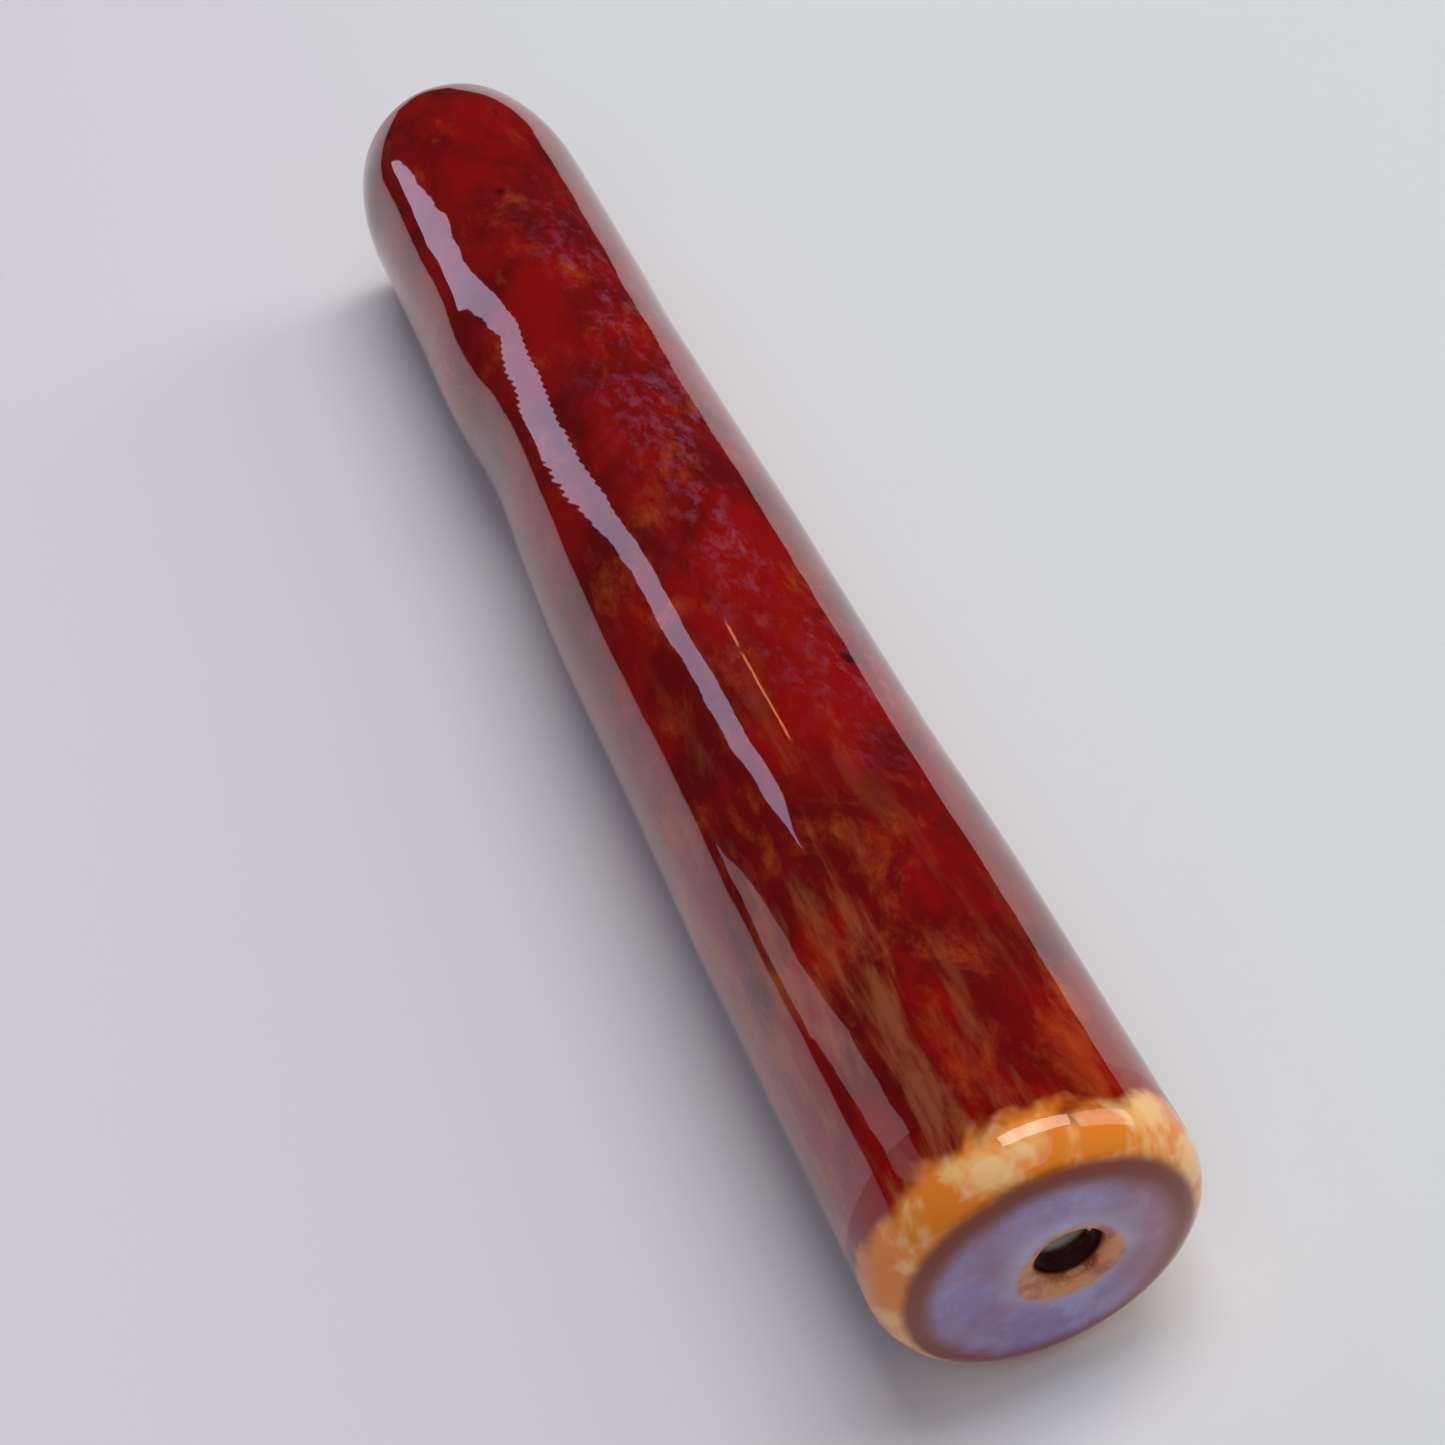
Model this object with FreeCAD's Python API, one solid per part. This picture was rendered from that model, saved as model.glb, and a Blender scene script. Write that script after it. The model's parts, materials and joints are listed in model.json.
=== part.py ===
"""Short hand-rolled ceramic tube, glazed all over, lying on its side along X.

Millimetres, +Z up. The mouth end points to +X. The origin is on the surface that the tube
rests on, under the middle of its length. One clay body carries seven coats of glaze: each
coat fills the room between the fired surface and the clay, and ends where the next begins.
"""
import FreeCAD, Part
import math
import os
from FreeCAD import Vector

# Outside form, over the glaze
tube_length = 78.0
mouth_radius = 6.10
belly_radius = 6.24             # the thickest place, near the mouth
belly_from_mouth = 17.0
waist_radius = 5.76             # where the fingers pressed the clay thinner
waist_from_far_end = 28.0
far_radius = 6.00
barrel_round = 500.0            # how gently the barrel turns at its belly and its waist
mouth_edge_round = 1.70
far_bevel_length = 3.20         # the far shoulder slopes in before it turns over the rim
far_bevel_drop = 1.50
far_shoulder_round = 4.50
far_edge_round = 1.20
rest_flat_depth = 0.39          # how far the board flattened the belly as the clay dried

# Bore: an airway from the mouth, and a wider bowl at the far end
airway_radius = 1.20
airway_offset_y = 0.60          # the hand-made bore is a little off the tube's axis
airway_offset_z = 0.30
mouth_lip_round = 0.45
bowl_radius = 2.50
bowl_depth = 10.0
bowl_taper_length = 4.0
bowl_lip_round = 0.60

# Glaze
coat_thickness = 0.45
face_coat_thickness = 0.55
clay_mouth_bevel = 0.60         # the clay's rims are bevelled, and the glaze runs thin over them
lining_thickness = 0.25
mouth_break_width = 3.30        # from the mouth end to where the red coat begins
far_break_width = 1.50
break_wave = 0.40               # how far the edge of the red coat wanders
break_lobes = 5
break_second_lobes = 2
break_second_share = 0.35
break_line_points = 20
face_coat_radius = 4.90         # the pooled glaze on the mouth face
lip_coat_width = 0.75           # the amber ring round the hole
lip_coat_depth = 0.90
bowl_rim_coat_depth = 1.40

overrun = 2.0                   # how far a cutting tool reaches past what it cuts

mouth_x = tube_length / 2
far_x = -tube_length / 2
waist_x = far_x + waist_from_far_end
belly_x = mouth_x - belly_from_mouth
axis_height = belly_radius - rest_flat_depth
X_AXIS = Vector(1, 0, 0)
UP = Vector(0, 0, 1)


def outside_radius(x):
    """Radius of the barrel at x, between its far end, waist, belly and mouth."""
    places = [(far_x, far_radius), (waist_x, waist_radius),
              (belly_x, belly_radius), (mouth_x, mouth_radius)]
    for (low_x, low), (high_x, high) in zip(places, places[1:]):
        if x <= high_x:
            break
    return low + (high - low) * (x - low_x) / (high_x - low_x)


def axis_point(x):
    """The point at x on the tube's own axis."""
    return Vector(x, 0, axis_height)


def bore_point(x):
    """The point at x on the straight axis of the airway and the bowl."""
    return Vector(x, airway_offset_y, axis_height + airway_offset_z)


def turned(outline, centre):
    """Solid of revolution about X through centre. The outline's corners are (x, radius, rounding)."""
    corners = [Vector(x, radius, 0) for x, radius, _ in outline]
    ways = []
    reaches = []
    for index, (_, _, rounding) in enumerate(outline):
        before = corners[index - 1] - corners[index]
        after = corners[(index + 1) % len(corners)] - corners[index]
        half = before.getAngle(after) / 2
        ways.append((before, after, half))
        reaches.append(rounding / math.tan(half))
    edges = []
    starts = []
    for index, (before, after, half) in enumerate(ways):
        corner = corners[index]
        reach = reaches[index]
        if reach:
            # Roundings that would meet share the run between them
            room_before = before.Length / (reach + reaches[index - 1])
            room_after = after.Length / (reach + reaches[(index + 1) % len(reaches)])
            reach *= min(1, room_before, room_after)
            rounding = reach * math.tan(half)
            before.normalize()
            after.normalize()
            centre_way = (before + after).normalize()
            middle = corner + centre_way * (rounding / math.sin(half) - rounding)
            edges.append(Part.Arc(corner + before * reach, middle, corner + after * reach).toShape())
            starts.append((corner + before * reach, corner + after * reach))
        else:
            starts.append((corner, corner))
    for index, (_, leaving) in enumerate(starts):
        arriving = starts[(index + 1) % len(starts)][0]
        if leaving.distanceToPoint(arriving) > 1e-6:
            edges.append(Part.LineSegment(leaving, arriving).toShape())
    wire = Part.Wire(Part.__sortEdges__(edges))
    solid = Part.Face(wire).revolve(Vector(0, 0, 0), X_AXIS, 360)
    solid.translate(Vector(0, centre.y, centre.z))
    return solid


def rolled_form(coat, far_coat, mouth_coat, fired):
    """The tube with a flattened underside, under coats of these thicknesses.

    The fired surface has round rims and gentle turns, and the clay under it plain ones.
    """
    start = far_x + far_coat
    end = mouth_x - mouth_coat
    shoulder_x = start + far_bevel_length
    mouth_side = mouth_radius - coat
    if fired:
        mouth_rim = [(end, mouth_side, mouth_edge_round)]
    else:
        mouth_rim = [(end - clay_mouth_bevel, mouth_side, 0), (end, mouth_side - clay_mouth_bevel, 0)]
    form = turned([
        (start, 0, 0),
        (start, far_radius - coat - far_bevel_drop, far_edge_round * fired),
        (shoulder_x, outside_radius(shoulder_x) - coat, far_shoulder_round * fired),
        (waist_x, waist_radius - coat, barrel_round * fired),
        (belly_x, belly_radius - coat, barrel_round * fired),
        *mouth_rim,
        (end, 0, 0),
    ], axis_point(0))
    width = 2 * (belly_radius + overrun)
    under = Part.makeBox(tube_length + 2 * overrun, width, width,
                         Vector(far_x - overrun, -width / 2, coat - width))
    return form.cut(under)


def bore_form(lining, far_coat, mouth_coat, fired):
    """The room of the bore, grown by its lining. The fired surface has round lips."""
    narrow = airway_radius + lining
    wide = bowl_radius + lining
    start = far_x + far_coat
    end = mouth_x - mouth_coat
    bowl_end_x = far_x + bowl_depth
    return turned([
        (start - overrun, 0, 0),
        (start - overrun, wide + bowl_lip_round, 0),
        (start, wide + bowl_lip_round, 0),
        (start, wide, bowl_lip_round * fired),
        (bowl_end_x, wide, 0),
        (bowl_end_x + bowl_taper_length, narrow, 0),
        (end, narrow, mouth_lip_round * fired),
        (end, narrow + mouth_lip_round, 0),
        (end + overrun, narrow + mouth_lip_round, 0),
        (end + overrun, 0, 0),
    ], bore_point(0))


def break_line(middle_x, reach_in, reach_out):
    """Wavy ribbon round the tube: the surface on which two coats of glaze meet."""
    rims = []
    for reach in (reach_in, reach_out):
        points = []
        for step in range(break_line_points):
            angle = 2 * math.pi * step / break_line_points
            first = (1 - break_second_share) * math.sin(break_lobes * angle)
            second = break_second_share * math.sin(break_second_lobes * angle + 1)
            wave = break_wave * (first + second)
            around = Vector(wave, reach * math.cos(angle), reach * math.sin(angle))
            points.append(axis_point(middle_x) + around)
        rim = Part.BSplineCurve()
        rim.interpolate(Points=points, PeriodicFlag=True)
        rims.append(rim.toShape())
    return Part.makeRuledSurface(rims[0], rims[1])


def ring_cut(centre, radius, reach):
    """Open cylinder along X about centre, reaching both ways from it."""
    circle = Part.makeCircle(radius, centre - X_AXIS * reach, X_AXIS)
    return circle.extrude(X_AXIS * 2 * reach)


def disc_cut(x, radius):
    """Flat disc across the bore at x."""
    return Part.Face(Part.Wire(Part.makeCircle(radius, bore_point(x), X_AXIS)))


def solid_at(solids, point, name):
    """The one solid that holds the point."""
    found = [solid for solid in solids if solid.isInside(point, 0.001, False)]
    if len(found) != 1:
        raise RuntimeError(f"{name}: {len(found)} solids hold its point")
    return found[0]


def coat_pieces(coat):
    """Cut the whole coat into its zones, each named by a point that lies inside it."""
    lip_radius = airway_radius + lip_coat_width
    inner_reach = far_radius - far_bevel_drop - coat_thickness
    outer_reach = belly_radius + overrun
    airway_disc = airway_radius + 2 * lining_thickness
    bowl_disc = bowl_radius + 2 * lining_thickness
    bowl_end_x = far_x + bowl_depth + bowl_taper_length
    rim_x = mouth_x - mouth_edge_round
    tools = [
        break_line(mouth_x - mouth_break_width, inner_reach, outer_reach),
        break_line(far_x + far_break_width, inner_reach, outer_reach),
        ring_cut(axis_point(mouth_x), face_coat_radius, face_coat_thickness + mouth_edge_round / 2),
        ring_cut(bore_point(mouth_x), lip_radius, 2 * face_coat_thickness),
        disc_cut(mouth_x - lip_coat_depth, airway_disc),
        disc_cut(bowl_end_x, airway_disc),
        disc_cut(far_x + bowl_rim_coat_depth, bowl_disc),
    ]
    fused, _ = coat.generalFuse(tools)
    in_wall = UP * (coat_thickness / 2)
    in_lining = UP * (lining_thickness / 2)
    face_middle = axis_point(mouth_x - face_coat_thickness / 2)
    lip_x = mouth_x - (mouth_lip_round + lip_coat_depth) / 2
    bowl_lip_x = far_x + (bowl_lip_round + bowl_rim_coat_depth) / 2
    inside = {
        "barrel_glaze": axis_point(0) + UP * outside_radius(0) - in_wall,
        "mouth_rim_glaze": axis_point(rim_x) + UP * outside_radius(rim_x) - in_wall,
        "mouth_face_glaze": face_middle - UP * ((face_coat_radius + lip_radius) / 2),
        "mouth_lip_glaze": bore_point(lip_x) + UP * airway_radius + in_lining,
        "airway_glaze": bore_point(0) + UP * airway_radius + in_lining,
        "bowl_glaze": bore_point(far_x + bowl_depth / 2) + UP * bowl_radius + in_lining,
        "bowl_rim_glaze": bore_point(bowl_lip_x) + UP * bowl_radius + in_lining,
    }
    return {name: solid_at(fused.Solids, point, name) for name, point in inside.items()}


def build():
    """Every piece by the name of its node."""
    fired = rolled_form(0, 0, 0, True).cut(bore_form(0, 0, 0, True))
    coats = coat_thickness, face_coat_thickness, False
    clay = rolled_form(coat_thickness, *coats).cut(bore_form(lining_thickness, *coats))
    parts = {"clay_body": clay.Solids[0]}
    parts.update(coat_pieces(fired.cut(clay)))
    return parts


os.makedirs("parts", exist_ok=True)
for node, solid in build().items():
    if not solid.isValid():
        raise RuntimeError(f"{node} isn't a valid solid")
    solid.exportStep(f"parts/{node}.step")
    print(node, round(solid.Volume, 1), "mm3")
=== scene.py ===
"""Looks of a short hand-rolled ceramic tube under its melted glaze.

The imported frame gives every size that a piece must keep. The outer skin is modelled once, from
a cylinder, with its bore open from end to end. It is then parted into its coats, and each coat
gets its own thickness and its own finish.
"""
import json
import math

import bmesh
import bpy
from bpy.props import FloatProperty, FloatVectorProperty, IntProperty, PointerProperty
from mathutils import Matrix, Vector

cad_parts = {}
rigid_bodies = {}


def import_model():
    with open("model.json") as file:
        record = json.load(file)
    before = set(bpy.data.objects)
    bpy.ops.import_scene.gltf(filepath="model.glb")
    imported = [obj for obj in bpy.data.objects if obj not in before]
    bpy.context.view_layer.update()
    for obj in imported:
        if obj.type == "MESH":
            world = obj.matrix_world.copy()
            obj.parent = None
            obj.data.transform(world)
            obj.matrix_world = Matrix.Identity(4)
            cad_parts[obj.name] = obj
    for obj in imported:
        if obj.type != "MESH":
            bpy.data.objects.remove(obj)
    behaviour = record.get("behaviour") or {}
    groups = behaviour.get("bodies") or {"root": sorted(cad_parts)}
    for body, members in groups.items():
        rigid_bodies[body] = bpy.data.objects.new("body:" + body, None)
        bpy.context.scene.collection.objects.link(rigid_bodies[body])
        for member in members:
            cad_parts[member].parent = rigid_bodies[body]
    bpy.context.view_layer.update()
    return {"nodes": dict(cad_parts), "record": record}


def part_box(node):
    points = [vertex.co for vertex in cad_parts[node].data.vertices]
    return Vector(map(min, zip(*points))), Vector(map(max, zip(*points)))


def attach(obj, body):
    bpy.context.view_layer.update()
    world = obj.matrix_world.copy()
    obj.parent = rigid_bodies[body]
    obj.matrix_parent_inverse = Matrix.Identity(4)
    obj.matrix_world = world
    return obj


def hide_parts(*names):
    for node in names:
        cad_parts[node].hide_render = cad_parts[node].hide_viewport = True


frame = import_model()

bl_info = {
    "name": "Glazed Ceramic Tube",
    "version": (1, 0, 0),
    "blender": (4, 5, 0),
    "location": "3D View > Sidebar > Ceramic Tube",
    "description": "Builds a hand-rolled ceramic tube with a narrow airway under melted glaze",
    "category": "Object",
}

MM = 0.001
MOUNTS = {mount["name"]: mount for mount in frame["record"]["mounts"]}

mouth_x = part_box("mouth_face_glaze")[1].x
far_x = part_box("bowl_rim_glaze")[0].x
tube_length = mouth_x - far_x
axis_z = sum(corner.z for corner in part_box("mouth_face_glaze")) / 2
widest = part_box("barrel_glaze")[1].y
mouth_break = mouth_x - (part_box("barrel_glaze")[1].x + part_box("mouth_rim_glaze")[0].x) / 2
far_break = (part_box("barrel_glaze")[0].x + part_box("bowl_rim_glaze")[1].x) / 2 - far_x
face_coat_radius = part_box("mouth_face_glaze")[1].y
lip_coat_radius = (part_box("mouth_lip_glaze")[1].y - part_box("mouth_lip_glaze")[0].y) / 2
lip_coat_depth = mouth_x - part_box("airway_glaze")[1].x
bowl_rim_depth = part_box("bowl_glaze")[0].x - far_x
bowl_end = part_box("bowl_glaze")[1].x - far_x
bore_y, bore_z = MOUNTS["airway"]["pos_m"][1:]
airway_radius = MOUNTS["airway"]["dims"]["r_mm"] * MM
bowl_radius = MOUNTS["bowl"]["dims"]["r_mm"] * MM
bowl_depth = 10 * MM

# Two places this close count as one plane
SAME_PLANE = 0.01 * MM


class TubeForm(bpy.types.PropertyGroup):
    """Sizes of the hand-rolled form."""
    sides: IntProperty(name="Sides", description="Sides of the skin before smoothing",
                       default=48, min=16, max=96)
    ring_spacing: FloatProperty(name="Ring spacing", description="Distance between rings",
                                default=1.5 * MM, unit="LENGTH", precision=5)
    smoothing: IntProperty(name="Smoothing", description="Subdivision levels", default=2, max=3)
    mouth_round: FloatProperty(name="Mouth rounding",
                               description="Radius of the mouth's outer edge",
                               default=1.7 * MM, unit="LENGTH", precision=5)
    far_round: FloatProperty(name="Far rounding", description="Radius of the far end's outer edge",
                             default=0.7 * MM, unit="LENGTH", precision=5)
    lip_round: FloatProperty(name="Lip rounding", description="Radius of the airway's lip",
                             default=0.42 * MM, unit="LENGTH", precision=5)
    coat: FloatProperty(name="Coat", description="Thickness of the outer glaze",
                        default=0.45 * MM, unit="LENGTH", precision=5)
    lining: FloatProperty(name="Lining", description="Thickness of the glaze in the bore",
                          default=0.25 * MM, unit="LENGTH", precision=5)


class GlazeColours(bpy.types.PropertyGroup):
    """Colours of the glaze, which shifts where it runs thin or pools."""
    deep_red: FloatVectorProperty(name="Deep red", description="Thick red glaze",
                                  subtype="COLOR", size=3, default=(0.30, 0.0035, 0.002))
    dark_red: FloatVectorProperty(name="Dark red", description="Thickest red glaze",
                                  subtype="COLOR", size=3, default=(0.14, 0.0025, 0.002))
    ember: FloatVectorProperty(name="Ember", description="Thin red glaze over pale clay",
                               subtype="COLOR", size=3, default=(0.46, 0.062, 0.012))
    violet: FloatVectorProperty(name="Violet", description="Milky flecks in the red glaze",
                                subtype="COLOR", size=3, default=(0.42, 0.12, 0.22))
    amber: FloatVectorProperty(name="Amber", description="Glaze that ran thin over a rim",
                               subtype="COLOR", size=3, default=(0.92, 0.26, 0.028))
    # Partly painted light: the rim's palest glaze, leaning towards the right side where the key
    # light falls
    lit_honey: FloatVectorProperty(name="Honey", description="Thinnest glaze at the crest of a rim",
                               subtype="COLOR", size=3, default=(1.0, 0.56, 0.21))
    pit: FloatVectorProperty(name="Pit", description="Pinholes where gas left the red glaze",
                             subtype="COLOR", size=3, default=(0.012, 0.002, 0.003))
    rust: FloatVectorProperty(name="Rust", description="Line between the amber and lavender glaze",
                              subtype="COLOR", size=3, default=(0.24, 0.034, 0.010))
    lavender: FloatVectorProperty(name="Lavender", description="Glaze pooled on the mouth's face",
                                  subtype="COLOR", size=3, default=(0.30, 0.19, 0.41))
    cloud: FloatVectorProperty(name="Cloud", description="Paler clouds in the lavender",
                               subtype="COLOR", size=3, default=(0.40, 0.33, 0.57))
    plum: FloatVectorProperty(name="Plum", description="Darker patches in the lavender",
                              subtype="COLOR", size=3, default=(0.30, 0.14, 0.22))
    rose: FloatVectorProperty(name="Rose", description="Warm side of the mouth's face",
                              subtype="COLOR", size=3, default=(0.48, 0.15, 0.15))
    halo: FloatVectorProperty(name="Halo", description="Pale ring round the hole",
                              subtype="COLOR", size=3, default=(0.62, 0.55, 0.62))
    lip: FloatVectorProperty(name="Lip", description="Thin glaze on the hole's lip",
                             subtype="COLOR", size=3, default=(0.72, 0.26, 0.08))
    lip_brown: FloatVectorProperty(name="Lip brown", description="Browner patches on the lip",
                                   subtype="COLOR", size=3, default=(0.42, 0.10, 0.04))
    lining: FloatVectorProperty(name="Lining", description="Glaze in the bore",
                                subtype="COLOR", size=3, default=(0.92, 0.84, 0.72))
    tan: FloatVectorProperty(name="Tan", description="Streaks on the left near the mouth",
                             subtype="COLOR", size=3, default=(0.42, 0.125, 0.045))
    # Painted shade: a near-black colour just inside the hole, where the bore lies in shade
    throat_shade: FloatVectorProperty(name="Throat", description="Glaze just inside the airway",
                                subtype="COLOR", size=3, default=(0.05, 0.006, 0.004))
    clay: FloatVectorProperty(name="Clay", description="Fired clay under the glaze",
                              subtype="COLOR", size=3, default=(0.52, 0.40, 0.30))
    clay_shade: FloatVectorProperty(name="Clay shade", description="Darker tone of the clay",
                                    subtype="COLOR", size=3, default=(0.40, 0.28, 0.20))
    grit: FloatVectorProperty(name="Grit", description="Grit in the clay",
                              subtype="COLOR", size=3, default=(0.20, 0.13, 0.09))


class StudioStage(bpy.types.PropertyGroup):
    """The floor, the lights and the camera."""
    # The pale paper, with painted lavender light on the left and painted whiter light on the right
    floor_colour: FloatVectorProperty(name="Floor", description="Colour of the pale floor",
                                      subtype="COLOR", size=3, default=(0.80, 0.75, 0.82))
    floor_right_painted_light: FloatVectorProperty(name="Floor on the right", description="Colour it shifts to",
                                     subtype="COLOR", size=3, default=(0.80, 0.82, 0.83))
    key_power: FloatProperty(name="Key", description="Power of the key light in watts",
                             default=6.8)
    fill_power: FloatProperty(name="Fill", description="Power of the overhead light in watts",
                              default=8.6)
    surroundings: FloatVectorProperty(name="Surroundings", description="Dim light from all round",
                                      subtype="COLOR", size=3, default=(0.02, 0.02, 0.025))


def select_only(piece):
    """Make the piece the one selected and active object."""
    bpy.ops.object.select_all(action="DESELECT")
    bpy.context.view_layer.objects.active = piece
    piece.select_set(True)


def start_edit(piece, mode="VERT"):
    """Enter edit mode on the piece with nothing selected."""
    select_only(piece)
    bpy.ops.object.mode_set(mode="EDIT")
    bpy.ops.mesh.select_mode(type=mode)
    bpy.ops.mesh.select_all(action="DESELECT")


def pick(piece, kind, wanted):
    """In edit mode, select only the vertices, edges or faces that pass the test."""
    mesh = bmesh.from_edit_mesh(piece.data)
    for group in (mesh.verts, mesh.edges, mesh.faces):
        for part in group:
            part.select = False
    for part in [part for part in getattr(mesh, kind) if wanted(part)]:
        part.select_set(True)
    bmesh.update_edit_mesh(piece.data)


def from_axis(point):
    """Distance of a point from the tube's axis."""
    return math.hypot(point.y, point.z - axis_z)


def from_bore(point):
    """Distance of a point from the bore's axis."""
    return math.hypot(point.y - bore_y, point.z - bore_z)


def eased(stations, place):
    """Value at a place between stations of (place, value), flat at each station."""
    low = stations[0]
    for high in stations[1:]:
        if place <= high[0]:
            share = (place - low[0]) / (high[0] - low[0])
            return low[1] + (high[1] - low[1]) * (1 - math.cos(math.pi * share)) / 2
        low = high
    return low[1]


# Radius of the barrel and its lean to the side, in millimetres along the tube from its mouth
BARREL_RADII = ((0, 6.04), (3, 6.08), (16, 6.17), (26, 6.04), (36, 6.05), (50, 5.79), (60, 5.94),
                (70, 6.0), (78, 6.0))
BARREL_LEAN = ((0, 0.06), (10, 0.03), (26, -0.11), (35, -0.11), (50, 0.05), (55, -0.05),
               (66, 0.03), (78, 0.0))

# The shoulder before the far end: where it starts and how far it drops, in millimetres
SHOULDER_FROM = 72.0
SHOULDER_DROP = 1.05

# Where the fingers pressed: along the tube, angle up from the right, depth, reach in millimetres
PRESSES = ((49, 180, 0.10, 7), (57, 160, -0.05, 5), (53, 118, 0.04, 3), (30, 100, 0.04, 7),
           (63, 95, 0.03, 6), (70, 140, 0.04, 5), (12, 110, 0.04, 5))

# Unevenness of hand-rolled clay: name, size and height in millimetres
SURFACE_WAVES = (("rolling", 9, 0.07), ("ripple", 2.2, 0.018))

# How far the lines where the coats break wander along the tube, and the turn of each line's waves
BREAK_WAVE = 0.25 * MM
MOUTH_PHASE = 0
FAR_PHASE = 2

# Rings on the mouth's face: in from its outer edge, and out from its lip
FACE_OUTER_STEP = 0.8 * MM
FACE_INNER_STEP = 0.45 * MM

# The airway's skin: how far it runs on past the mouth's lip glaze before it is bridged across to
# the bowl, and the rings of that bridge
AIRWAY_START = 0.6 * MM
AIRWAY_RINGS = 24

# A bore's edge is found within this share of its radius, and the far one is rounded by a share
LIP_REACH = 1.02
FAR_LIP_SHARE = 0.8

# The bore's skin lies deeper than this below the barrel's, and the face's this near the mouth
BORE_SKIN_DEPTH = 1.9 * MM
FACE_SKIN_DEPTH = 0.3 * MM

# The uneven skin is further out than this radius, and further than this from each end
OUTSIDE_RADIUS = 5 * MM
OUTSIDE_MARGIN = 0.5 * MM

# Faces that meet at less than this angle are shaded as one curve
SMOOTH_ANGLE = math.radians(40)

# The coats, in the order they are made, and the finish of each
SLOTS = {"barrel_glaze": "red_glaze", "mouth_rim_glaze": "amber_glaze",
         "mouth_face_glaze": "lavender_glaze", "mouth_lip_glaze": "lip_glaze",
         "airway_glaze": "lining_glaze", "bowl_glaze": "lining_glaze",
         "bowl_rim_glaze": "amber_glaze"}
ZONES = tuple(SLOTS)


def barrel_radius(along):
    """Radius of the barrel at a distance along it from the mouth, with the far shoulder."""
    radius = eased(BARREL_RADII, along / MM) * MM
    past = max(0, along / MM - SHOULDER_FROM) / (tube_length / MM - SHOULDER_FROM)
    return radius - SHOULDER_DROP * MM * past ** 2


def shape_ring(x):
    """Scale and shift the selected ring at x to the barrel's form."""
    along = mouth_x - x
    scale = barrel_radius(along) / widest
    bpy.ops.transform.resize(value=(1, scale, scale), center_override=(x, 0, axis_z))
    bpy.ops.transform.translate(value=(0, eased(BARREL_LEAN, along / MM) * MM, 0))


def ring_places(form):
    """Places of the barrel's rings: one before the mouth's break line, then on to the far one."""
    first = mouth_x - mouth_break
    last = far_x + far_break
    count = round((first - last) / form.ring_spacing)
    between = (mouth_x - form.mouth_round + first) / 2
    return [between] + [first + (last - first) * step / count for step in range(count + 1)]


def turned_barrel(form):
    """A closed barrel from a cylinder, with its rings shaped along its length."""
    bpy.ops.object.select_all(action="DESELECT")
    bpy.ops.mesh.primitive_cylinder_add(vertices=form.sides, radius=widest, depth=tube_length,
                                        end_fill_type="NGON", rotation=(0, math.pi / 2, 0),
                                        location=((mouth_x + far_x) / 2, 0, axis_z))
    skin = bpy.context.object
    skin.name = "skin"
    bpy.ops.object.transform_apply(location=True, rotation=True, scale=True)
    start_edit(skin)
    rings = ring_places(form)
    for x in rings:
        bpy.ops.mesh.select_all(action="SELECT")
        bpy.ops.mesh.bisect(plane_co=(x, 0, axis_z), plane_no=(1, 0, 0),
                            threshold=SAME_PLANE)
    for x in (mouth_x, *rings, far_x):
        pick(skin, "verts", lambda vert: abs(vert.co.x - x) < SAME_PLANE)
        shape_ring(x)
    return skin


def break_wander(point, phase):
    """How far along the tube a break line wanders at a place round it: five waves over two."""
    angle = math.atan2(point.z - axis_z, point.y)
    return BREAK_WAVE * (0.65 * math.sin(5 * angle + phase) + 0.35 * math.sin(2 * angle + 1))


def wave_ring(skin, x, phase):
    """Let the ring at x wander along the barrel, where one coat meets the next."""
    mesh = bmesh.from_edit_mesh(skin.data)
    for vert in mesh.verts:
        if abs(vert.co.x - x) < SAME_PLANE:
            vert.co.x += break_wander(vert.co, phase)
    bmesh.update_edit_mesh(skin.data)


def end_face(piece, end):
    """Select the one flat face that closes an end or the bore."""
    pick(piece, "faces", lambda face: len(face.verts) > 4
         and abs(face.calc_center_median().x - end) < SAME_PLANE)


def round_end(skin, end, rounding, segments):
    """Round the outer edge of an end."""
    end_face(skin, end)
    bpy.ops.mesh.region_to_loop()
    bpy.ops.mesh.bevel(offset=rounding, segments=segments, profile=0.5, clamp_overlap=False)


def sink_bore(skin, end, outward, radii, lip_round, depths):
    """Inset an end face ring by ring to the bore, push the bore in, and round its lip."""
    whole = radii[0] - radii[-1]
    for wide, narrow in zip(radii, radii[1:]):
        end_face(skin, end)
        bpy.ops.mesh.inset(thickness=wide - narrow, use_even_offset=True)
        end_face(skin, end)
        shift = Vector((0, bore_y, bore_z - axis_z)) * (wide - narrow) / whole
        bpy.ops.transform.translate(value=shift)
    x = end
    radius = radii[-1]
    for depth, next_radius in depths:
        end_face(skin, x)
        bpy.ops.mesh.extrude_region_move(
            TRANSFORM_OT_translate={"value": (-outward * depth, 0, 0)})
        x -= outward * depth
        end_face(skin, x)
        scale = next_radius / radius
        bpy.ops.transform.resize(value=(1, scale, scale), center_override=(x, bore_y, bore_z))
        radius = next_radius
    end_face(skin, x)
    bpy.ops.mesh.delete(type="ONLY_FACE")
    pick(skin, "edges", lambda edge: all(
        abs(vert.co.x - end) < SAME_PLANE and from_bore(vert.co) < radii[-1] * LIP_REACH
        for vert in edge.verts))
    bpy.ops.mesh.bevel(offset=lip_round, segments=4, profile=0.5, clamp_overlap=False)


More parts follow.
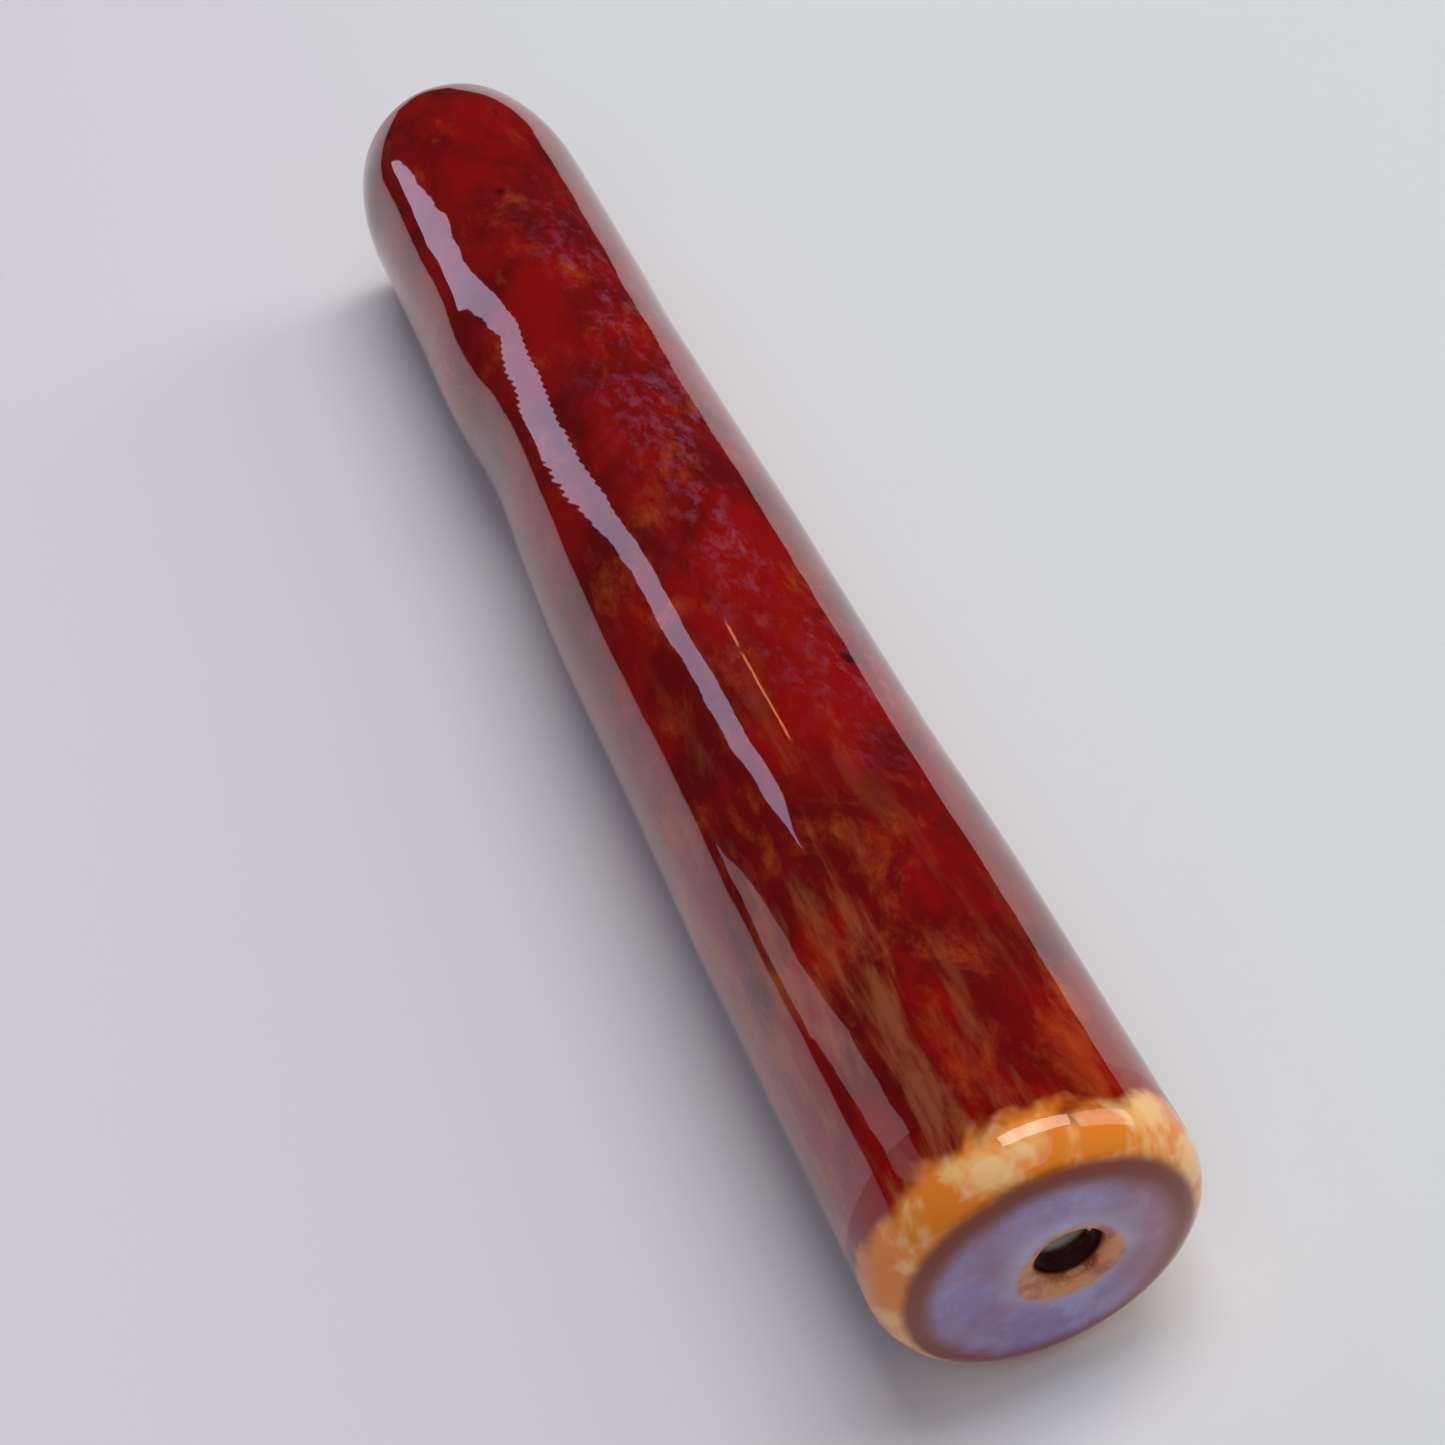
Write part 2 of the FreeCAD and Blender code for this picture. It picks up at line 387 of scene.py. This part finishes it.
def open_tube(form):
    """The whole skin: barrel, both ends and the bore from end to end."""
    skin = turned_barrel(form)
    wave_ring(skin, mouth_x - mouth_break, MOUTH_PHASE)
    wave_ring(skin, far_x + far_break, FAR_PHASE)
    round_end(skin, mouth_x, form.mouth_round, segments=6)
    round_end(skin, far_x, form.far_round, segments=5)
    mouth_flat = barrel_radius(0) - form.mouth_round
    far_flat = barrel_radius(tube_length) - form.far_round
    lip = lip_coat_radius
    sink_bore(skin, mouth_x, 1,
              (mouth_flat, mouth_flat - FACE_OUTER_STEP, (mouth_flat + lip) / 2,
               lip + FACE_INNER_STEP, lip, airway_radius),
              form.lip_round, ((lip_coat_depth, airway_radius), (AIRWAY_START, airway_radius)))
    wall = (bowl_depth - bowl_rim_depth) / 2
    sink_bore(skin, far_x, -1, (far_flat, bowl_radius), FAR_LIP_SHARE * form.lip_round,
              ((bowl_rim_depth, bowl_radius), (wall, bowl_radius), (wall, bowl_radius),
               (bowl_end - bowl_depth, airway_radius)))
    pick(skin, "edges", lambda edge: edge.is_boundary)
    bpy.ops.mesh.bridge_edge_loops(number_cuts=AIRWAY_RINGS, interpolation="LINEAR")
    bpy.ops.mesh.select_all(action="SELECT")
    bpy.ops.mesh.normals_make_consistent(inside=False)
    return skin


def zone_of(point):
    """Which coat a place on the skin belongs to."""
    from_mouth = mouth_x - point.x
    from_far = point.x - far_x
    in_bore = from_axis(point) < barrel_radius(from_mouth) - BORE_SKIN_DEPTH
    if in_bore and from_mouth > lip_coat_depth:
        if from_far > bowl_end:
            return "airway_glaze"
        return "bowl_glaze" if from_far > bowl_rim_depth else "bowl_rim_glaze"
    if from_mouth < lip_coat_depth and from_bore(point) < lip_coat_radius:
        return "mouth_lip_glaze"
    if from_mouth < FACE_SKIN_DEPTH and from_axis(point) < face_coat_radius:
        return "mouth_face_glaze"
    if from_mouth < mouth_break - break_wander(point, MOUTH_PHASE):
        return "mouth_rim_glaze"
    at_far_rim = from_far < far_break + break_wander(point, FAR_PHASE)
    return "bowl_rim_glaze" if at_far_rim else "barrel_glaze"


def press(skin, along, turn, depth, reach):
    """Press the skin in at one place, as a fingertip does: turn is the angle up from the right."""
    x = mouth_x - along * MM
    angle = math.radians(turn)
    out = Vector((0, math.cos(angle), math.sin(angle)))
    place = Vector((x, 0, axis_z)) + out * barrel_radius(along * MM)
    mesh = bmesh.from_edit_mesh(skin.data)
    near = min(mesh.verts, key=lambda vert: (vert.co - place).length)
    pick(skin, "verts", lambda vert: vert.index == near.index)
    bpy.ops.transform.translate(value=-out * depth * MM, use_proportional_edit=True,
                                use_proportional_connected=True,
                                proportional_edit_falloff="SMOOTH",
                                proportional_size=reach * MM)


def smoothed_skin(form):
    """The skin with its presses, its coats marked, smoothed and laid flat on the board."""
    skin = open_tube(form)
    for along, turn, depth, reach in PRESSES:
        press(skin, along, turn, depth, reach)
    mark_zones(skin)
    bpy.ops.object.mode_set(mode="OBJECT")
    smooth = skin.modifiers.new("smooth", "SUBSURF")
    smooth.levels = smooth.render_levels = form.smoothing
    bpy.ops.object.modifier_apply(modifier=smooth.name)
    for name, size, height in SURFACE_WAVES:
        texture = bpy.data.textures.new(name, "CLOUDS")
        texture.noise_scale = size * MM
        texture.noise_depth = 1
        waves = skin.modifiers.new(name, "DISPLACE")
        waves.texture = texture
        waves.texture_coords = "LOCAL"
        waves.strength = height * MM
        waves.mid_level = 0.5
        waves.vertex_group = "outside"
        bpy.ops.object.modifier_apply(modifier=waves.name)
    start_edit(skin)
    pick(skin, "verts", lambda vert: vert.co.z < 0)
    bpy.ops.transform.resize(value=(1, 1, 0), center_override=(0, 0, 0))
    bpy.ops.object.mode_set(mode="OBJECT")
    return skin


def mark_zones(skin):
    """Give each coat its own material slot, and the outside its own vertex group."""
    for zone in ZONES:
        skin.data.materials.append(bpy.data.materials.new("zone_" + zone))
    mesh = bmesh.from_edit_mesh(skin.data)
    for face in mesh.faces:
        face.material_index = ZONES.index(zone_of(face.calc_center_median()))
    bmesh.update_edit_mesh(skin.data)
    outside = skin.vertex_groups.new(name="outside")
    pick(skin, "verts", lambda vert: from_axis(vert.co) > OUTSIDE_RADIUS
         and far_x + OUTSIDE_MARGIN < vert.co.x < mouth_x - OUTSIDE_MARGIN)
    skin.vertex_groups.active = outside
    bpy.context.scene.tool_settings.vertex_group_weight = 1.0
    bpy.ops.object.vertex_group_assign()


def thicken(piece, thickness):
    """Give a coat its thickness, inwards from the fired surface."""
    select_only(piece)
    wall = piece.modifiers.new("wall", "SOLIDIFY")
    wall.thickness = thickness
    wall.offset = -1
    bpy.ops.object.modifier_apply(modifier=wall.name)
    bpy.ops.object.shade_smooth_by_angle(angle=SMOOTH_ANGLE)


def part_coats(skin):
    """Part the skin into its coats, by the zones that were marked on it."""
    start_edit(skin, "FACE")
    bpy.ops.mesh.select_all(action="SELECT")
    bpy.ops.mesh.separate(type="MATERIAL")
    bpy.ops.object.mode_set(mode="OBJECT")
    coats = {}
    for piece in [obj for obj in bpy.context.scene.objects if obj.name.startswith("skin")]:
        zone = piece.material_slots[piece.data.polygons[0].material_index].material.name
        zone = zone.removeprefix("zone_")
        piece.data.materials.clear()
        piece.data.polygons.foreach_set("material_index", [0] * len(piece.data.polygons))
        piece.vertex_groups.clear()
        coats[zone] = piece
    for name in ZONES:
        bpy.data.materials.remove(bpy.data.materials["zone_" + name])
    return coats


def add(tree, kind, inputs=(), **settings):
    """Add a node, with its inputs given as {name: value or socket}."""
    node = tree.nodes.new("ShaderNode" + kind)
    for key, value in settings.items():
        setattr(node, key, value)
    for key, value in dict(inputs).items():
        socket = node.inputs[key]
        if isinstance(value, bpy.types.NodeSocket):
            tree.links.new(value, socket)
        elif socket.type == "RGBA":
            socket.default_value = (*value, 1)
        else:
            socket.default_value = value
    return node


def times(tree, first, second):
    """Two values multiplied."""
    return add(tree, "Math", {0: first, 1: second}, operation="MULTIPLY").outputs[0]


def plus(tree, first, second):
    """Two values added."""
    return add(tree, "Math", {0: first, 1: second}, operation="ADD").outputs[0]


def minus(tree, first, second):
    """The second value taken from the first."""
    return add(tree, "Math", {0: first, 1: second}, operation="SUBTRACT").outputs[0]


def blend(tree, share, under, over):
    """One colour laid over another by a share from 0 to 1."""
    # A mix of colours has its share in socket 0 and its colours in 6 and 7, and gives output 2
    return add(tree, "Mix", {0: share, 6: under, 7: over}, data_type="RGBA").outputs[2]


def fade(tree, value, low, high):
    """0 below low and 1 above high, with a soft step between. It also runs backwards."""
    node = add(tree, "MapRange", {"Value": value, "From Min": low, "From Max": high},
               interpolation_type="SMOOTHSTEP")
    return node.outputs[0]


def mottle(tree, place, size, detail, rough, twist=0.0, stretch=1.0, seed=0.0):
    """Noise with spots of about the size in millimetres, longer along the tube by the stretch."""
    moved = add(tree, "Mapping", {"Vector": place, "Scale": (1 / stretch, 1, 1),
                                  "Location": (seed, seed * 0.7, seed * 0.3)}).outputs[0]
    node = add(tree, "TexNoise", {"Vector": moved, "Scale": 1 / size, "Detail": detail,
                                  "Roughness": rough, "Distortion": twist})
    return node.outputs["Fac"]


# How strongly the glaze mirrors where it is thick and where it is thin, and its relief's height
THICK_GLAZE_IOR = 1.85
THIN_GLAZE_IOR = 1.5
BUMP_DISTANCE = 0.02 * MM


class Recipe:
    """A finish being mixed: its node tree, and places on the tube in millimetres."""

    def __init__(self, name):
        self.material = bpy.data.materials.new(name)
        self.material.use_nodes = True
        self.tree = self.material.node_tree
        self.tree.nodes.clear()
        coords = add(self.tree, "TexCoord").outputs["Object"]
        self.place = add(self.tree, "Mapping", {
            "Vector": coords, "Scale": (-1 / MM, 1 / MM, 1 / MM),
            "Location": (mouth_x / MM, 0, -axis_z / MM)}).outputs[0]
        split = add(self.tree, "SeparateXYZ", {0: self.place})
        self.along, self.side, self.up = split.outputs
        across = add(self.tree, "CombineXYZ", {1: self.side, 2: self.up}).outputs[0]
        off_axis = add(self.tree, "VectorMath", {0: across}, operation="LENGTH")
        hole = (0, bore_y / MM, (bore_z - axis_z) / MM)
        off_bore = add(self.tree, "VectorMath", {0: across, 1: hole}, operation="DISTANCE")
        self.off_bore = off_bore.outputs["Value"]
        self.over_rim = plus(self.tree, off_axis.outputs["Value"], self.along)

    def finish(self, colour, rough, coat_rough, height, bump, coat=1.0, coat_ior=THICK_GLAZE_IOR):
        """Join the colour and the surface to a glassy shader."""
        normal = add(self.tree, "Bump", {"Height": height, "Strength": bump,
                                         "Distance": BUMP_DISTANCE}).outputs[0]
        shader = add(self.tree, "BsdfPrincipled", {
            "Base Color": colour, "Roughness": rough, "Specular IOR Level": 0.0,
            "Coat Weight": coat, "Coat Roughness": coat_rough, "Coat IOR": coat_ior,
            "Normal": normal, "Coat Normal": normal})
        out = add(self.tree, "OutputMaterial")
        self.tree.links.new(shader.outputs[0], out.inputs["Surface"])
        return self.material


def red_colour(mix, paint):
    """Deep red, darker where it pooled, with embers, milky violet flecks, streaks and pits."""
    tree, place = mix.tree, mix.place
    depth = mottle(tree, place, size=4.0, detail=4, rough=0.6, twist=0.3, stretch=1.6)
    red = blend(tree, fade(tree, depth, 0.36, 0.62), paint.dark_red, paint.deep_red)

    ember = mottle(tree, place, size=2.3, detail=6, rough=0.68, twist=0.3, stretch=1.7, seed=13)
    to_mouth = fade(tree, mix.along, 60, 8)
    more_at_mouth = minus(tree, times(tree, to_mouth, 0.04), 0.02)
    glow = fade(tree, plus(tree, ember, more_at_mouth), 0.51, 0.80)
    red = blend(tree, glow, red, paint.ember)

    streak = mottle(tree, place, size=1.2, detail=4, rough=0.6, twist=0.3, stretch=5.5, seed=31)
    on_left = plus(tree, times(tree, fade(tree, mix.side, 2.0, -2.0), 0.45), 0.15)
    near_mouth = times(tree, fade(tree, mix.along, 34, 6), on_left)
    tan_share = times(tree, fade(tree, streak, 0.48, 0.66), near_mouth)
    red = blend(tree, tan_share, red, paint.tan)

    dark_streak = mottle(tree, place, size=1.4, detail=4, rough=0.6, twist=0.3, stretch=4, seed=53)
    dark_share = times(tree, fade(tree, dark_streak, 0.58, 0.72), 0.8)
    red = blend(tree, dark_share, red, paint.dark_red)

    fleck = mottle(tree, place, size=0.7, detail=5, rough=0.7, twist=0.15, stretch=1.8, seed=71)
    patch = mottle(tree, place, size=4.5, detail=3, rough=0.6, twist=0.3, stretch=2.4, seed=5)
    on_right = fade(tree, mix.side, -2.5, 3.5)
    mid_length = times(tree, fade(tree, mix.along, 14, 24), fade(tree, mix.along, 68, 52))
    milky = times(tree, times(tree, on_right, mid_length), fade(tree, patch, 0.38, 0.60))
    milky = times(tree, milky, fade(tree, fleck, 0.46, 0.66))
    red = blend(tree, times(tree, milky, 0.45), red, paint.violet)

    cells = add(tree, "TexVoronoi", {"Vector": place, "Scale": 0.16, "Randomness": 1.0})
    pit = fade(tree, cells.outputs["Distance"], 0.085, 0.03)
    return blend(tree, times(tree, pit, 0.85), red, paint.pit)


def swayed(mix, size, seed, sway):
    """A noise round zero that lets a line sway, by about half the sway to either side."""
    noise = mottle(mix.tree, mix.place, size=size, detail=3, rough=0.55, twist=0.3, seed=seed)
    return times(mix.tree, minus(mix.tree, noise, 0.5), sway)


def rim_colour(mix, paint, red):
    """The glaze over the mouth's rim, from lavender through rust and amber to red, paler at its
    crest, with painted key light that turns it paler still towards the right.
    """
    tree = mix.tree
    sway = swayed(mix, size=2.6, seed=17, sway=3.2)
    patch = mottle(tree, mix.place, size=1.9, detail=3, rough=0.6, twist=0.3, seed=41)
    # Random patches plus painted key light, which grows towards the right side
    lit = plus(tree, patch, times(tree, mix.side, 0.015))
    amber = blend(tree, fade(tree, lit, 0.44, 0.62), paint.amber, paint.lit_honey)
    outer = plus(tree, mix.over_rim, sway)
    colour = blend(tree, fade(tree, outer, 7.5, 8.5), amber, red)
    inner = plus(tree, mix.over_rim, times(tree, sway, 0.12))
    colour = blend(tree, fade(tree, inner, 5.9, 5.2), colour, paint.rust)
    return blend(tree, fade(tree, inner, 4.9, 3.8), colour, lavender_colour(mix, paint))


def lavender_colour(mix, paint):
    """Milky lavender with paler clouds, plum patches, a warm side and a pale ring at the hole."""
    tree, place = mix.tree, mix.place
    cloud = mottle(tree, place, size=1.7, detail=4, rough=0.6, twist=0.5, seed=23)
    colour = blend(tree, fade(tree, cloud, 0.35, 0.7), paint.lavender, paint.cloud)
    blush = mottle(tree, place, size=2.8, detail=2, rough=0.5, twist=0.2, seed=61)
    colour = blend(tree, times(tree, fade(tree, blush, 0.45, 0.7), 0.7), colour, paint.plum)
    warm = times(tree, fade(tree, mix.side, 1.0, 5.0), 0.75)
    colour = blend(tree, warm, colour, paint.rose)
    ring = times(tree, fade(tree, mix.off_bore, 2.9, 1.7), 0.4)
    colour = blend(tree, ring, colour, paint.halo)
    wider_below = times(tree, fade(tree, mix.up, 1.2, -1.0), 0.45)
    lip = fade(tree, minus(tree, mix.off_bore, wider_below), 1.85, 1.55)
    return blend(tree, lip, colour, lip_colour(mix, paint))


def lip_colour(mix, paint):
    """Thin amber round the hole, browner in places, with painted shade where it turns in."""
    patch = mottle(mix.tree, mix.place, size=0.9, detail=3, rough=0.6, twist=0.3, seed=7)
    colour = blend(mix.tree, fade(mix.tree, patch, 0.4, 0.65), paint.lip, paint.lip_brown)
    # Painted shade where the lip turns into the bore
    return blend(mix.tree, fade(mix.tree, mix.along, 0.20, 0.40), colour, paint.throat_shade)


def far_rim_colour(mix, paint, red):
    """A narrow amber fringe where the glaze thins over the far rim."""
    tree = mix.tree
    sway = swayed(mix, size=2.2, seed=29, sway=1.6)
    from_far = plus(tree, minus(tree, tube_length / MM, mix.along), sway)
    patch = mottle(tree, mix.place, size=1.4, detail=3, rough=0.6, twist=0.3, seed=47)
    amber = blend(tree, fade(tree, patch, 0.42, 0.64), paint.amber, paint.rust)
    return blend(tree, fade(tree, from_far, 1.1, 0.45), red, amber)


def coat_finish(name, paint):
    """The melted glaze on the outside: one pattern that runs on over every coat."""
    mix = Recipe(name)
    tree = mix.tree
    red = red_colour(mix, paint)
    colour = far_rim_colour(mix, paint, rim_colour(mix, paint, red))
    ridges = add(tree, "TexWave", {"Vector": mix.place, "Scale": 1.1, "Distortion": 2.0,
                                   "Detail": 1.0, "Detail Scale": 0.3},
                 wave_type="BANDS", bands_direction="DIAGONAL").outputs["Fac"]
    touched = times(tree, fade(tree, mix.along, 34, 42), fade(tree, mix.along, 56, 50))
    ridges = times(tree, ridges, plus(tree, touched, 0.15))
    fine = mottle(tree, mix.place, size=0.8, detail=2, rough=0.5, stretch=2.5, seed=3)
    height = plus(tree, times(tree, ridges, 0.18), fine)
    thick = name == SLOTS["barrel_glaze"]
    return mix.finish(colour, rough=0.22, coat_rough=0.03, height=height, bump=0.12,
                      coat_ior=THICK_GLAZE_IOR if thick else THIN_GLAZE_IOR)


def lining_finish(name, paint):
    """Pale glaze in the bore, browner in patches, with painted shade just inside the hole."""
    mix = Recipe(name)
    patch = mottle(mix.tree, mix.place, size=1.8, detail=3, rough=0.55, twist=0.2, stretch=2.0,
                   seed=11)
    brown = times(mix.tree, fade(mix.tree, patch, 0.4, 0.7), 0.3)
    pale = blend(mix.tree, brown, paint.lining, paint.rust)
    # Painted shade over the part of the bore nearest the hole
    colour = blend(mix.tree, fade(mix.tree, mix.along, 1.1, 1.4), paint.throat_shade, pale)
    return mix.finish(colour, rough=0.18, coat_rough=0.03, height=patch, bump=0.1)


def clay_finish(name, paint):
    """Fired buff clay with fine grit."""
    mix = Recipe(name)
    grit = mottle(mix.tree, mix.place, size=0.25, detail=4, rough=0.7, seed=19)
    tone = mottle(mix.tree, mix.place, size=3.0, detail=3, rough=0.5, twist=0.2, stretch=1.5,
                  seed=37)
    colour = blend(mix.tree, fade(mix.tree, tone, 0.35, 0.7), paint.clay, paint.clay_shade)
    colour = blend(mix.tree, fade(mix.tree, grit, 0.62, 0.75), colour, paint.grit)
    return mix.finish(colour, rough=0.85, coat_rough=0.5, height=grit, bump=0.5, coat=0.0)


class CERAMIC_OT_clay_body(bpy.types.Operator):
    """Give the clay body its fired clay"""
    bl_idname = "ceramic.clay_body"
    bl_label = "Clay body"

    def execute(self, context):
        clay = frame["nodes"]["clay_body"]
        clay.data.materials.clear()
        clay.data.materials.append(clay_finish("clay", context.scene.glaze_colours))
        return {"FINISHED"}


class CERAMIC_OT_glaze(bpy.types.Operator):
    """Model the fired skin, part it into its coats, and glaze each one"""
    bl_idname = "ceramic.glaze"
    bl_label = "Glaze"

    def execute(self, context):
        form = context.scene.tube_form
        paint = context.scene.glaze_colours
        coats = part_coats(smoothed_skin(form))
        finishes = {}
        for zone in ZONES:
            piece = coats[zone]
            lining = zone in ("airway_glaze", "bowl_glaze")
            thicken(piece, form.lining if lining else form.coat)
            piece.name = piece.data.name = zone + "_melted"
            slot = SLOTS[zone]
            if slot not in finishes:
                finishes[slot] = (lining_finish if lining else coat_finish)(slot, paint)
            piece.data.materials.append(finishes[slot])
            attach(piece, "root")
            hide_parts(zone)
        return {"FINISHED"}


# The floor's side in metres, and how far from the middle its painted light has shifted from the
# lavender left to the whiter right
FLOOR_SIZE = 3.0
PAINTED_LIGHT_REACH = 0.03

# Lights with no setting of their own: name, place, width, height, watts, colour, roll in degrees
FIXED_LIGHTS = (
    ("right_softbox", (-0.10, 1.00, 0.60), 0.60, 0.80, 3.6, (0.94, 1.0, 0.96), 0),
    ("tall_window", (-0.80, -0.42, 0.45), 0.13, 0.66, 0.52, (0.76, 0.70, 1.0), 8),
    ("side_window", (-0.57, -0.82, 0.34), 0.15, 0.50, 0.16, (1.0, 0.78, 0.84), -12),
    ("lamp", (-0.60, 0.06, 0.60), 0.018, 0.018, 0.004, (1.0, 0.36, 0.14), 0),
)

CAMERA_PLACE = Vector((76.5, -15.11, 66.68 + axis_z / MM)) * MM
CAMERA_RIGHT = (0.3346, 0.9320, -0.1393)
CAMERA_UP = (-0.6330, 0.3318, 0.6994)
CAMERA_FORWARD = (-0.6981, 0.1459, -0.7010)
CAMERA_LENS = 57.3


def area_light(name, place, width, height, power, colour, roll=0):
    """A soft rectangular light that faces the tube, in metres, rolled by an angle in degrees."""
    bpy.ops.object.light_add(type="AREA", location=place)
    lamp = bpy.context.object
    lamp.name = name
    facing = (-Vector(place)).to_track_quat("-Z", "Y").to_matrix()
    lamp.rotation_euler = (facing @ Matrix.Rotation(math.radians(roll), 3, "Z")).to_euler()
    lamp.data.shape = "RECTANGLE"
    lamp.data.size = width
    lamp.data.size_y = height
    lamp.data.energy = power
    lamp.data.color = colour


class CERAMIC_OT_stage(bpy.types.Operator):
    """Lay the pale floor, hang the lights and set the camera"""
    bl_idname = "ceramic.stage"
    bl_label = "Stage"

    def execute(self, context):
        stage = context.scene.studio_stage
        bpy.ops.object.select_all(action="DESELECT")
        bpy.ops.mesh.primitive_plane_add(size=FLOOR_SIZE, location=(0, 0, 0))
        floor = context.object
        floor.name = "floor"
        paper = bpy.data.materials.new("floor_paper")
        paper.use_nodes = True
        tree = paper.node_tree
        shader = tree.nodes["Principled BSDF"]
        shader.inputs["Roughness"].default_value = 0.9
        shader.inputs["Specular IOR Level"].default_value = 0.1
        place = add(tree, "SeparateXYZ", {0: add(tree, "TexCoord").outputs["Object"]})
        # Painted light: the floor shifts from its lavender-lit left to a whiter right
        to_right = fade(tree, place.outputs["Y"], -PAINTED_LIGHT_REACH, PAINTED_LIGHT_REACH)
        painted_light_tint = blend(tree, to_right, stage.floor_colour, stage.floor_right_painted_light)
        tree.links.new(painted_light_tint, shader.inputs["Base Color"])
        floor.data.materials.append(paper)

        world = bpy.data.worlds.new("surroundings")
        context.scene.world = world
        world.use_nodes = True
        back = world.node_tree.nodes["Background"]
        back.inputs["Color"].default_value = (*stage.surroundings, 1)
        back.inputs["Strength"].default_value = 1.0

        area_light("key", (-0.20, 0.30, 1.05), 0.42, 0.85, stage.key_power,
                   (1.0, 0.97, 0.93), roll=-34)
        area_light("overhead", (0.90, -0.20, 1.30), 1.6, 1.6, stage.fill_power,
                   (0.84, 0.92, 1.0))
        for light in FIXED_LIGHTS:
            area_light(*light)

        bpy.ops.object.camera_add(location=CAMERA_PLACE)
        camera = context.object
        axes = (CAMERA_RIGHT, CAMERA_UP, CAMERA_FORWARD)
        right, up, forward = (Vector(axis).normalized() for axis in axes)
        camera.rotation_euler = Matrix((right, up, -forward)).transposed().to_euler()
        camera.data.lens = CAMERA_LENS
        camera.data.clip_start = 0.005
        context.scene.camera = camera
        context.scene.view_settings.view_transform = "Standard"
        return {"FINISHED"}


class CERAMIC_PT_panel(bpy.types.Panel):
    """Sizes, colours and steps of the ceramic tube"""
    bl_idname = "CERAMIC_PT_panel"
    bl_label = "Ceramic Tube"
    bl_space_type = "VIEW_3D"
    bl_region_type = "UI"
    bl_category = "Ceramic Tube"

    def draw(self, context):
        for group in (context.scene.tube_form, context.scene.glaze_colours,
                      context.scene.studio_stage):
            box = self.layout.box()
            for name in group.__annotations__:
                box.prop(group, name)
        for operator in OPERATORS:
            self.layout.operator(operator.bl_idname)


OPERATORS = (CERAMIC_OT_clay_body, CERAMIC_OT_glaze, CERAMIC_OT_stage)
GROUPS = {"tube_form": TubeForm, "glaze_colours": GlazeColours, "studio_stage": StudioStage}
CLASSES = (*GROUPS.values(), *OPERATORS, CERAMIC_PT_panel)


def register():
    for cls in CLASSES:
        bpy.utils.register_class(cls)
    for name, group in GROUPS.items():
        setattr(bpy.types.Scene, name, PointerProperty(type=group))


def unregister():
    for name in GROUPS:
        delattr(bpy.types.Scene, name)
    for cls in reversed(CLASSES):
        bpy.utils.unregister_class(cls)


def main():
    """Build every piece in order."""
    register()
    bpy.ops.ceramic.clay_body()
    bpy.ops.ceramic.glaze()
    bpy.ops.ceramic.stage()


if __name__ == "__main__":
    main()
